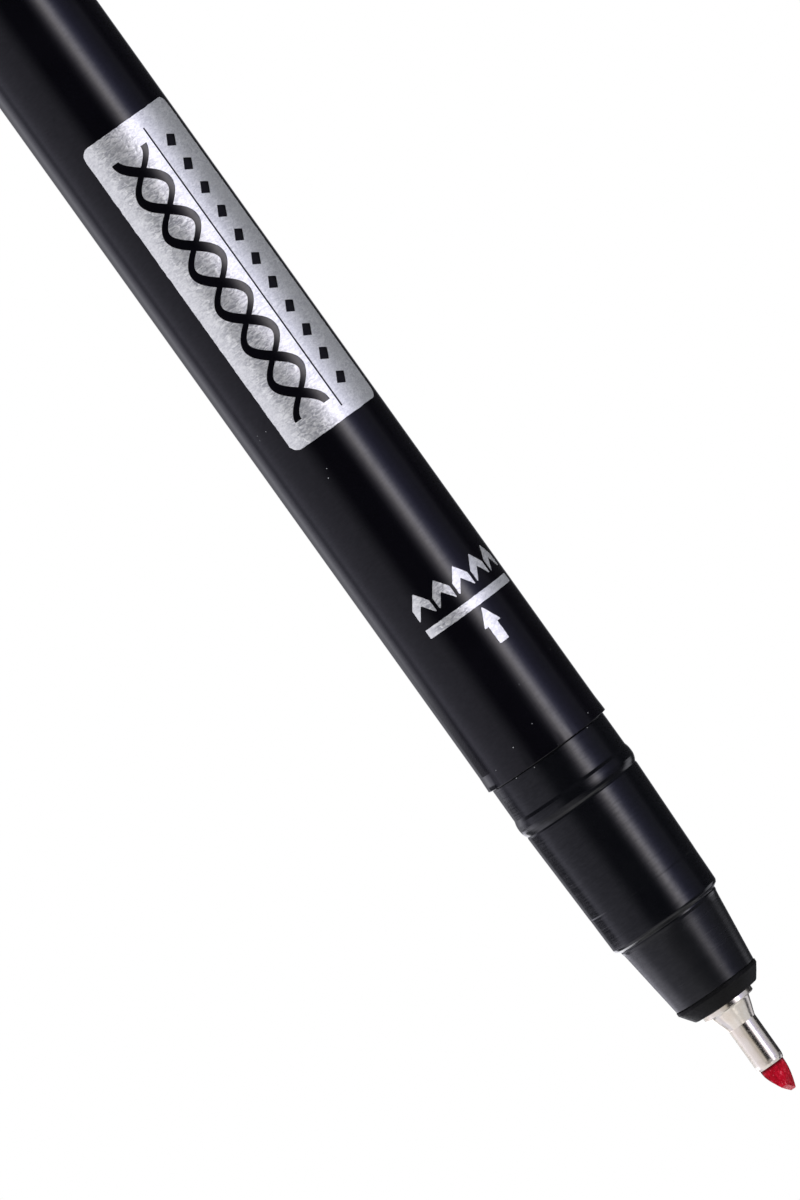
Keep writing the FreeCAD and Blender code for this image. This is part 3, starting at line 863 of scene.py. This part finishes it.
def foil(name, outlines, holes, thickness, grid):
    """Solid foil wrapped on the barrel; grid is the pitch of the points filled in between."""

    def covered(points):
        mask = np.zeros(len(points), bool)
        for polygon in outlines:
            mask |= inside(polygon, points)
        for polygon in holes:
            mask &= ~inside(polygon, points)
        return mask

    coords, edges = [], []
    for polygon in outlines + holes:
        start, count = len(coords), len(polygon)
        coords += [Vector(p) for p in polygon]
        edges += [(start + i, start + (i + 1) % count) for i in range(count)]
    rim = np.array([(p.x, p.y) for p in coords])
    grid_u, grid_z = (np.arange(rim[:, i].min(), rim[:, i].max() + grid, grid) for i in (0, 1))
    points = np.array([(u + (0.5 * grid if j % 2 else 0), z)
                       for j, z in enumerate(grid_z) for u in grid_u])
    for p in points[covered(points)]:
        if np.min(np.hypot(rim[:, 0] - p[0], rim[:, 1] - p[1])) > 0.4 * grid:
            coords.append(Vector(p))
    flat, _, triangles, *_ = delaunay_2d_cdt(coords, edges, [], 0, 1e-6)
    flat = np.array([(p.x, p.y) for p in flat])
    keep = covered(np.array([flat[list(t)].mean(0) for t in triangles]))
    triangles = [t for t, kept in zip(triangles, keep) if kept]
    used = sorted({i for t in triangles for i in t})
    index = {i: k for k, i in enumerate(used)}
    count = len(used)
    verts = [(*around(radius, flat[i][0] / BARREL_R), flat[i][1])
             for radius in (BARREL_R + thickness, FOIL_BASE) for i in used]
    faces, sides = [], {}
    for t in triangles:
        face = [index[i] for i in t]
        faces.append(face)
        faces.append([i + count for i in reversed(face)])
        for a, b in zip(face, face[1:] + face[:1]):
            sides.setdefault((min(a, b), max(a, b)), []).append((a, b))
    for uses in sides.values():
        if len(uses) == 1:
            a, b = uses[0]
            faces.append([b, a, a + count, b + count])
    return make_object(name, verts, faces, sharp=50)


def build_label():
    """Foil block with openings: two crossing wavy bands, a thin rule and a column of lozenges."""
    outline = rectangle(arc(-72.7), arc(27.0), LABEL_LOW, LABEL_HIGH)
    outline = ragged(rounded(outline, 0.85, 8), step=0.16, size=0.022, seed=3)
    holes = [ribbon(LABEL_LOW + 1.97, LABEL_HIGH - 2.34, centre=arc(-6.1), phase=phase)
             for phase in (0.0, math.pi)]
    rule, rule_half = arc(-28.7), 0.075
    holes.append(dense(rectangle(rule - rule_half, rule + rule_half,
                                 LABEL_LOW + 0.96, LABEL_HIGH - 1.29), 0.2))
    lozenge = [(0.72, -0.25), (0.1, 0.62), (-0.72, 0.25), (-0.1, -0.62)]
    column, pitch = arc(-44.6), 2.33
    for i in range(11):
        middle = LABEL_LOW + 2.87 + i * pitch
        corners = [(column + u, middle + z) for u, z in lozenge]
        holes.append(dense(rounded(corners, 0.05, 2), 0.12))
    return foil("label_foil_block", [outline], holes, thickness=0.038, grid=0.26)


def build_seat_marks():
    """Line part-way round the barrel, an arrow below it and five chevrons above, all pointing up."""

    def mark(corners, radius, seed):
        return ragged(rounded(corners, radius, 3), step=0.1, size=0.010, seed=seed)

    line = rectangle(arc(-74), arc(24), SEAT_LINE, SEAT_LINE + 0.80)
    marks = [mark(line, 0.06, seed=8)]
    top = SEAT_LINE - 0.24
    head_half, head_z, stem_half, stem_z = 0.87, top - 1.64, 0.475, top - 3.26
    arrow = [(0, top), (head_half, head_z), (stem_half, head_z), (stem_half, stem_z),
             (-stem_half, stem_z), (-stem_half, head_z), (-head_half, head_z)]
    marks.append(mark([(arc(-25.0) + u, z) for u, z in arrow], 0.05, seed=9))
    half, rise, leg, base = 0.84, 1.15, 1.15, SEAT_LINE + 1.49
    for i in range(5):
        u = arc(-65.0 + 20.0 * i)
        chevron = [(u - half, base), (u - half, base + leg), (u, base + rise + leg),
                   (u + half, base + leg), (u + half, base), (u, base + rise)]
        marks.append(mark(chevron, 0.05, seed=20 + i))
    return foil("seat_mark_print", marks, [], thickness=0.036, grid=0.22)


label = build_label()
finish_piece(label, "pen", SILVER_FOIL, "label_foil")
seat_marks = build_seat_marks()
finish_piece(seat_marks, "pen", SILVER_FOIL, "seat_mark_foil")


# --------------------------------------------------------------------------------------- end plug


def build_plug():
    """Plug in the barrel's upper end, with a shallow round dimple in its end face."""
    top = PLUG_TOP
    profile = fillet([
        (4.0, 87.0), (4.65, 87.0, 0.1), (BARREL_BORE, 87.5), (BARREL_BORE, BARREL_TOP + SEAM),
        (5.55, BARREL_TOP + SEAM, 0.06), (5.62, BARREL_TOP + 0.10, 0.05), (5.62, top - 0.70, 0.5),
        (5.40, top - 0.12, 0.35), (4.85, top, 0.2), (1.35, top, 0.06), (1.22, top - 0.16, 0.05),
        (0.9, top - 0.20, 0.1), (0, top - 0.20), (0, BARREL_TOP - 0.6), (4.0, BARREL_TOP - 0.6),
    ], steps=6)
    return lathe("rear_plug", profile, sharp=35)


finish_piece(build_plug(), "pen", PLUG_SATIN, "end_plug")

# -------------------------------------------------------------------------------------------- cap
CAP_BORE = 5.50                      # narrowest bore of the shell, which holds the crown
CLIP_ANGLE = math.radians(CLIP_BEARING)
CLIP_OUTWARD = Vector((*around(1.0, CLIP_ANGLE), 0))
CLIP_ACROSS = Vector((-math.cos(CLIP_ANGLE), math.sin(CLIP_ANGLE), 0))


def clip_place(outward, across, z):
    return tuple(CLIP_OUTWARD * outward + CLIP_ACROSS * across + Vector((0, 0, z)))


def build_shell():
    """Tapered cap tube with a stepped bore and the clip's slot through its wall."""

    def tapered(depth):
        return 6.5995 - 0.45 * depth / SHELL_LENGTH

    wide = 5.62                          # bore on both sides of a small inner bump
    profile = fillet([
        (6.02, cap_z(0), 0.06), (6.40, cap_z(0), 0.14), (6.59, cap_z(0.16), 0.2),
        (6.592, cap_z(0.6)), (tapered(SLOT_NEAR), cap_z(SLOT_NEAR)),
        (tapered(SLOT_FAR), cap_z(SLOT_FAR)), (6.155, cap_z(SHELL_LENGTH - 0.04), 0.05),
        (6.10, cap_z(SHELL_LENGTH)), (CAP_BORE, cap_z(SHELL_LENGTH)), (CAP_BORE, cap_z(SLOT_FAR)),
        (CAP_BORE, cap_z(SLOT_NEAR)), (CAP_BORE, cap_z(30.2)), (wide, cap_z(30.2)),
        (wide, cap_z(15.9)), (5.58, cap_z(15.5), 0.3), (wide, cap_z(15.1)), (wide, cap_z(12.95)),
        (5.82, cap_z(12.95)), (5.82, cap_z(0.3), 0.1),
    ])
    slot = Window(angle=math.radians(270.0 - CLIP_BEARING), half_width=SLOT_HALF_WIDTH,
                  z_low=cap_z(SLOT_FAR + 0.02), z_high=cap_z(SLOT_NEAR - 0.02),
                  r_inner=CAP_BORE, r_outer=6.2)
    return lathe("cap_tube", profile, 288, sharp=35, window=slot)


def prism(name, base, z0, z1):
    """Upright prism over a base polygon of (x, y)."""
    count = len(base)
    verts = [(x, y, z) for z in (z0, z1) for x, y in base]
    faces = [list(range(count - 1, -1, -1)), list(range(count, 2 * count))]
    for i in range(count):
        after = (i + 1) % count
        faces.append([i, after, after + count, i + count])
    return make_object(name, verts, faces)


def subtract(ob, cutters):
    """Cut each solid out of ob for good, then remove the cutters."""
    for cutter in cutters:
        modifier = ob.modifiers.new("cut", "BOOLEAN")
        modifier.operation = "DIFFERENCE"
        modifier.solver = "EXACT"
        modifier.object = cutter
        depsgraph = bpy.context.evaluated_depsgraph_get()
        result = bpy.data.meshes.new_from_object(ob.evaluated_get(depsgraph))
        ob.modifiers.clear()
        old = ob.data
        ob.data = result
        bpy.data.meshes.remove(old)
    for cutter in cutters:
        mesh = cutter.data
        bpy.data.objects.remove(cutter)
        bpy.data.meshes.remove(mesh)


def build_crown():
    """Plug in the cap's lower end, with three upright round holes and a pocket for the clip."""
    end = CROWN_END
    shell_end = cap_z(SHELL_LENGTH)
    profile = fillet([
        (0, cap_z(49.4)), (4.40, cap_z(49.4)), (4.40, cap_z(47.0)), (5.40, cap_z(47.0)),
        (CAP_BORE, cap_z(47.2)), (CAP_BORE, shell_end - SEAM), (6.07, shell_end - SEAM, 0.05),
        (6.15, shell_end - 0.09, 0.05), (6.15, end + 0.80, 0.5), (5.93, end + 0.14, 0.4),
        (5.30, end, 0.2), (0, end),
    ], steps=6)
    crown = lathe("cap_crown_plug", profile, 192, sharp=30)
    hole_r, hole_circle = 0.38, 4.96
    cutters = []
    for k in range(3):
        x, y = around(hole_circle, math.radians(CLIP_BEARING + 35 + 120 * k))
        ring = [(x + hole_r * math.cos(t), y + hole_r * math.sin(t))
                for t in np.linspace(0, 2 * math.pi, 33)[:-1]]
        cutters.append(prism(f"vent_cut_{k}", ring, end - 1, end + 9))
    half = SLOT_HALF_WIDTH
    pocket = [clip_place(outward, across, 0)[:2]
              for outward, across in ((3.9, -half), (7.0, -half), (7.0, half), (3.9, half))]
    cutters.append(prism("pocket_cut", pocket, cap_z(49.75), cap_z(47.8)))
    subtract(crown, cutters)
    return crown


# Clip centre line: (distance from the axis, depth below the cap rim, bend radius)
CLIP_PATH = [
    (5.0, 48.35, 0.0), (5.0, CLIP_TAB_DEPTH, 0.28), (6.60, CLIP_TAB_DEPTH, 0.0),
    (8.02, CLIP_TAB_DEPTH, 0.62), (8.01, 48.20, 0.2), (7.80, 40.0, 900.0), (7.35, 28.0, 900.0),
    (6.88, 19.3, 1.6), (6.725, 17.62, 1.6), (6.90, 16.1, 1.2), (7.72, 13.85, 0.0),
]
CLIP_THICKNESS = 0.5
CLIP_HALF_WIDTH, CLIP_TAB_HALF_WIDTH = 2.0, 1.25
CLIP_NARROWING = 0.25                # loss of half width from the tab to the free end
CLIP_WIDENING = 0.75                 # length over which the tab widens into the strip
CLIP_END = 1.5                       # length of the rounded free end


def clip_half_width(s, tab_end, total):
    """Half width at a distance s along the clip."""
    if s < tab_end:
        return CLIP_TAB_HALF_WIDTH
    if s < tab_end + CLIP_WIDENING:
        growth = CLIP_HALF_WIDTH - CLIP_TAB_HALF_WIDTH
        return CLIP_TAB_HALF_WIDTH + growth * smoothstep((s - tab_end) / CLIP_WIDENING)
    width = CLIP_HALF_WIDTH - CLIP_NARROWING * (s - tab_end) / (total - tab_end)
    left = total - s
    if left < CLIP_END:
        curve = math.sqrt(max(0.0, 1 - ((CLIP_END - left) / CLIP_END) ** 2))
        width *= curve * 0.98 + 0.02
    return width


def clip_section(half_width):
    """Round-edged cross-section as (across, offset along the strip's normal)."""
    edge = min(0.16, half_width * 0.45)
    half = CLIP_THICKNESS / 2
    section = []
    for k in range(7):
        t = math.pi / 2 * k / 6
        section.append((half_width - edge + edge * math.sin(t), -half + edge * (1 - math.cos(t))))
    section += [(across, -offset) for across, offset in section[::-1]]
    return section + [(-across, offset) for across, offset in section[::-1]]


def build_clip():
    """Sprung strip swept along its path, with a hooked tab and a rounded free end."""
    corners = fillet(CLIP_PATH, steps=10, closed=False)
    points = corners[:1]
    for corner in corners[1:]:
        a, b = np.array(points[-1]), np.array(corner)
        parts = max(1, int(np.linalg.norm(b - a) / 0.7))
        points += [tuple(a + (b - a) * i / parts) for i in range(1, parts + 1)]
    path = np.array(points)
    tangent = np.gradient(path, axis=0)
    tangent /= np.linalg.norm(tangent, axis=1)[:, None]
    normal = np.stack([-tangent[:, 1], tangent[:, 0]], 1)
    steps = np.linalg.norm(np.diff(path, axis=0), axis=1)
    length = np.concatenate([[0], np.cumsum(steps)])
    total = length[-1]
    tab_end = length[np.argmin(np.hypot(path[:, 0] - 6.85, path[:, 1] - CLIP_TAB_DEPTH))]

    # stations crowd together towards the rounded end
    stations = [s for s in length if s < total - CLIP_END]
    stations += [total - CLIP_END * (1 - math.cos(t)) for t in np.linspace(0.02, math.pi / 2, 14)]
    stations = np.array(sorted({round(float(s), 5) for s in stations}))
    columns = (path[:, 0], path[:, 1], normal[:, 0], normal[:, 1])
    verts, rings = [], []
    for s, x, depth, normal_x, normal_depth in zip(
            stations, *(np.interp(stations, length, column) for column in columns)):
        section = clip_section(clip_half_width(s, tab_end, total))
        rings.append(list(range(len(verts), len(verts) + len(section))))
        verts += [clip_place(float(x + normal_x * offset), float(across),
                             cap_z(float(depth + normal_depth * offset)))
                  for across, offset in section]
    faces = skin(rings) + [rings[0][::-1], rings[-1]]
    return make_object("pocket_clip", verts, faces, sharp=45)


finish_piece(build_shell(), "cap", CAP_GLOSS, "cap_shell")
finish_piece(build_crown(), "cap", CROWN_RED, "cap_crown")
finish_piece(build_clip(), "clip", CLIP_STEEL, "cap_clip")

# CAD pieces that keep their own shape
for node, material, slot in (
    ("ink_reservoir", RESERVOIR_FIBRE, "reservoir_fibre"),
    ("reservoir_wrap", WRAP_FILM, "wrap_film"),
    ("cap_inner_seal", SEAL_PLASTIC, "seal_plastic"),
):
    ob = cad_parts[node]
    paint(ob, material)


# ----------------------------------------------------------------------------------------- camera
CAMERA_DISTANCE = 1250.0
CAMERA_AIM = Vector((-2.548, 0.0, 16.75))
CAMERA_HEIGHT = 58.6                 # sets the slight view down from the barrel's upper end
CAMERA_RIGHT = Vector((0.81301, 0, -0.58226))   # rolls the view so that the pen lies diagonally


def build_camera():
    data = bpy.data.cameras.new("camera")
    camera = bpy.data.objects.new("camera", data)
    scene.collection.objects.link(camera)
    scene.camera = camera
    data.sensor_width = 36.0
    data.sensor_height = 36.0
    data.lens = 466.875
    data.clip_start, data.clip_end = 0.01, 20.0
    back = Vector((-CAMERA_AIM.x, -CAMERA_DISTANCE, CAMERA_HEIGHT - CAMERA_AIM.z)).normalized()
    right = (CAMERA_RIGHT - back * CAMERA_RIGHT.dot(back)).normalized()
    matrix = Matrix((right, back.cross(right), back)).transposed().to_4x4()
    matrix.translation = (CAMERA_AIM + back * CAMERA_DISTANCE) * MM
    camera.matrix_world = matrix


build_camera()

# ------------------------------------------------------------------------------------------ world
# Soft panels round the horizon: (bearing, colour at a quarter of its brightness)
PANELS = [
    (-180, (0.25, 0.25, 0.26)), (-168, (0.05, 0.05, 0.055)), (-158, (0.010, 0.010, 0.011)),
    (-107, (0.003, 0.003, 0.0035)), (-99, (0.011, 0.011, 0.014)), (-93, (0.031, 0.031, 0.039)),
    (-80, (0.037, 0.037, 0.055)), (-66, (0.061, 0.061, 0.103)), (-60.5, (0.100, 0.100, 0.165)),
    (-55, (0.195, 0.195, 0.285)), (-49.5, (0.50, 0.49, 0.60)), (-44, (0.90, 0.87, 0.98)),
    (-38.5, (0.81, 0.77, 0.82)), (-33.5, (0.43, 0.41, 0.44)), (-28.5, (0.180, 0.170, 0.195)),
    (-23.5, (0.055, 0.052, 0.062)), (-18, (0.010, 0.010, 0.012)), (-12, (0.0, 0.0, 0.0)),
    (17, (0.001, 0.001, 0.0012)), (24, (0.015, 0.015, 0.018)), (33, (0.049, 0.049, 0.057)),
    (44, (0.088, 0.086, 0.102)), (85, (0.116, 0.114, 0.138)), (104, (0.150, 0.148, 0.182)),
    (110.5, (0.092, 0.091, 0.112)), (115, (0.078, 0.077, 0.097)), (122, (0.150, 0.148, 0.178)),
    (129, (0.200, 0.198, 0.230)), (137, (0.235, 0.235, 0.262)), (148, (0.125, 0.125, 0.140)),
    (163, (0.045, 0.045, 0.050)), (180, (0.25, 0.25, 0.26)),
]


def build_world():
    """Studio seen mostly in reflections; the camera itself sees plain white."""
    world = bpy.data.worlds.new("studio")
    scene.world = world
    world.use_nodes = True
    g = Graph(world.node_tree)
    x, y, z = g.xyz(g.node("ShaderNodeTexCoord").outputs["Generated"])
    down = g.times(z, -1)
    bearing = g.bearing(x, y)

    def sector(start, end, to=(0.0, 1.0)):
        return g.ease(bearing, (math.radians(start), math.radians(end)), to)

    turn = g.add(g.math("DIVIDE", bearing, 2 * math.pi), 0.5)
    panels = g.ramp(turn, *[((angle + 180) / 360, colour) for angle, colour in PANELS])
    colour = g.mix(1.0, panels, (4, 4, 4), blend="MULTIPLY")
    # far below the horizon: dim towards +X, paler towards -X
    minus_x = sector(-22, 34)
    low_colour = g.mix(minus_x, (0.06, 0.06, 0.07), (0.50, 0.49, 0.53))
    low_colour = g.mix(sector(66, 100), low_colour, (0.84, 0.83, 0.94))
    # a dark gap just below the horizon, on the -X side
    gap = g.times(sector(109, 118), sector(141, 155, to=(1.0, 0.0)),
                  g.ease(down, (0.028, 0.042), to=(0.0, 0.90)))
    colour = g.mix(gap, colour, (0.012, 0.012, 0.02))
    # dark above the panels
    colour = g.mix(g.ease(z, (0.16, 0.31)), colour, (0.04, 0.04, 0.05))
    # the panels towards +X fade downwards
    fade = g.times(g.ease(down, (0.10, 0.20), to=(0.0, 0.36)), g.math("SUBTRACT", 1.0, minus_x))
    colour = g.mix(fade, colour, (0.01, 0.01, 0.012))
    # a bright table below the horizon, from -X round to +Y
    table = g.times(g.ease(down, (0.085, 0.15)), sector(84, 116))
    colour = g.mix(table, colour, (1.30, 1.28, 1.46))
    low_mask = g.ease(g.add(down, g.times(minus_x, 0.08)), (0.30, 0.50))
    colour = g.mix(low_mask, colour, low_colour)
    # below the horizon behind the pen: a dim room and a tall window, then a paler patch to +X
    under = g.ease(down, (0.15, 0.24))
    colour = g.mix(g.times(under, sector(114, 136)), colour, (0.13, 0.13, 0.15))
    window = g.times(sector(146, 160), sector(168, 180, to=(1.0, 0.0)))
    colour = g.mix(g.times(under, window), colour, (2.1, 2.1, 2.2))
    patch = g.times(sector(-150, -134), sector(-124, -108, to=(1.0, 0.0)))
    colour = g.mix(g.times(under, patch), colour, (0.75, 0.75, 0.82))
    # white overhead and pale underfoot
    colour = g.mix(g.ease(z, (0.78, 0.92)), colour, (1.0, 1.0, 1.0))
    colour = g.mix(g.ease(down, (0.72, 0.86)), colour, (0.82, 0.82, 0.82))
    # diffuse rays get an even light, a little brighter from above
    lift = g.grey(g.ease(z, (-0.6, 0.9), to=(0.80, 1.10)))
    soft = g.mix(1.0, (0.98, 0.99, 1.0), lift, blend="MULTIPLY")
    rays = g.node("ShaderNodeLightPath").outputs
    colour = g.mix(rays["Is Diffuse Ray"], colour, soft)
    colour = g.mix(rays["Is Camera Ray"], colour, (1.0, 1.0, 1.0))
    background = g.node("ShaderNodeBackground")
    g.put(background.inputs[0], colour)
    g.put(g.node("ShaderNodeOutputWorld").inputs[0], background.outputs[0])
    if hasattr(world, "cycles"):         # present only while Cycles is enabled
        world.cycles.sampling_method = "NONE"


build_world()


# ----------------------------------------------------------------------------------------- lights
# Soft boxes that reach only the bright pieces, which otherwise mirror mostly the dark room.
# Rows: name, bearing and elevation seen from the target, half angles across and high (all
# degrees), radiance, tint
METAL_BOXES = [
    ("box_warm", 64, 0, 54, 22, 0.36, (1.0, 0.93, 0.86)),
    ("box_near", 14, 0, 10, 22, 0.12, (1.0, 0.93, 0.86)),
    ("box_cool", -81, 0, 20, 22, 0.34, (0.97, 0.98, 1.0)),
    ("box_left", 138, 0, 24, 22, 0.42, (1.0, 0.97, 0.93)),
    ("box_low", 34, -38, 46, 16, 0.34, (1.0, 0.95, 0.89)),
    ("box_under", -50, -38, 36, 16, 0.52, (0.98, 0.98, 1.0)),
]
FOIL_BOXES = [
    ("foil_window", -56, 0, 34, 24, 0.40, (0.97, 0.985, 1.0)),
    ("foil_fill", 46, 0, 24, 24, 0.62, (0.985, 0.985, 1.0)),
    ("foil_side", -118, 0, 26, 24, 0.085, (0.86, 0.93, 1.0)),
]


def receivers(name, *obs):
    collection = bpy.data.collections.new(name)
    for ob in obs:
        collection.objects.link(ob)
    return collection


def softboxes(rows, group, target_z, distance):
    """Rectangular lights aimed at one point of the axis, lighting only the group."""
    distance *= MM
    for name, bearing, elevation, across, height, radiance, tint in rows:
        rise = math.radians(elevation)
        direction = Vector((*around(math.cos(rise), math.radians(bearing)), math.sin(rise)))
        data = bpy.data.lights.new(name, "AREA")
        data.shape = "RECTANGLE"
        data.size = 2 * distance * math.tan(math.radians(across))
        data.size_y = 2 * distance * math.tan(math.radians(height))
        data.energy = 4 * radiance * data.size * data.size_y
        data.color = tint
        light = bpy.data.objects.new(name, data)
        light.location = Vector((0, 0, target_z * MM)) + direction * distance
        light.rotation_mode = "QUATERNION"
        light.rotation_quaternion = (-direction).to_track_quat("-Z", "Y")
        light.visible_camera = False
        scene.collection.objects.link(light)
        light.light_linking.receiver_collection = group


metal_only = receivers("metal_only", ferrule)
foil_only = receivers("foil_only", label, seat_marks)
softboxes(METAL_BOXES, metal_only, target_z=-27.5, distance=120)
softboxes(FOIL_BOXES, foil_only, target_z=30.0, distance=350)

# ------------------------------------------------------------------------------------------ floor
FLOOR_R = 220.0


def floor_pale(name):
    """Pale matte that turns into plain white light towards the floor's rim."""
    m = Material(name)
    m.set(Roughness=0.9, Base_Color=(0.84, 0.84, 0.84), Specular_IOR_Level=0.0)
    white = m.node("ShaderNodeEmission")
    m.put(white.inputs[0], (1.0, 1.0, 1.0))
    x, y, _ = m.xyz(m.mm)
    radius = m.math("SQRT", m.add(m.times(x, x), m.times(y, y)))
    blend = m.node("ShaderNodeMixShader")
    m.put(blend.inputs[0], m.ease(radius, span=(30.0, FLOOR_R - 10)))
    m.put(blend.inputs[1], m.surface.outputs[0])
    m.put(blend.inputs[2], white.outputs[0])
    m.put(m.output.inputs[0], blend.outputs[0])
    return m.material


def build_floor():
    """Round floor just under the cap's crown."""
    bm = bmesh.new()
    bmesh.ops.create_circle(bm, cap_ends=True, radius=FLOOR_R * MM, segments=128)
    mesh = bpy.data.meshes.new("floor")
    bm.to_mesh(mesh)
    bm.free()
    floor = bpy.data.objects.new("floor", mesh)
    floor.location = (0, 0, (CROWN_END - 0.1) * MM)
    scene.collection.objects.link(floor)
    mesh.materials.append(floor_pale("floor_pale"))
    floor.visible_glossy = False


build_floor()

scene.view_settings.view_transform = "Standard"
scene.view_settings.look = "None"
scene.view_settings.exposure = 0.0
scene.view_settings.gamma = 1.0
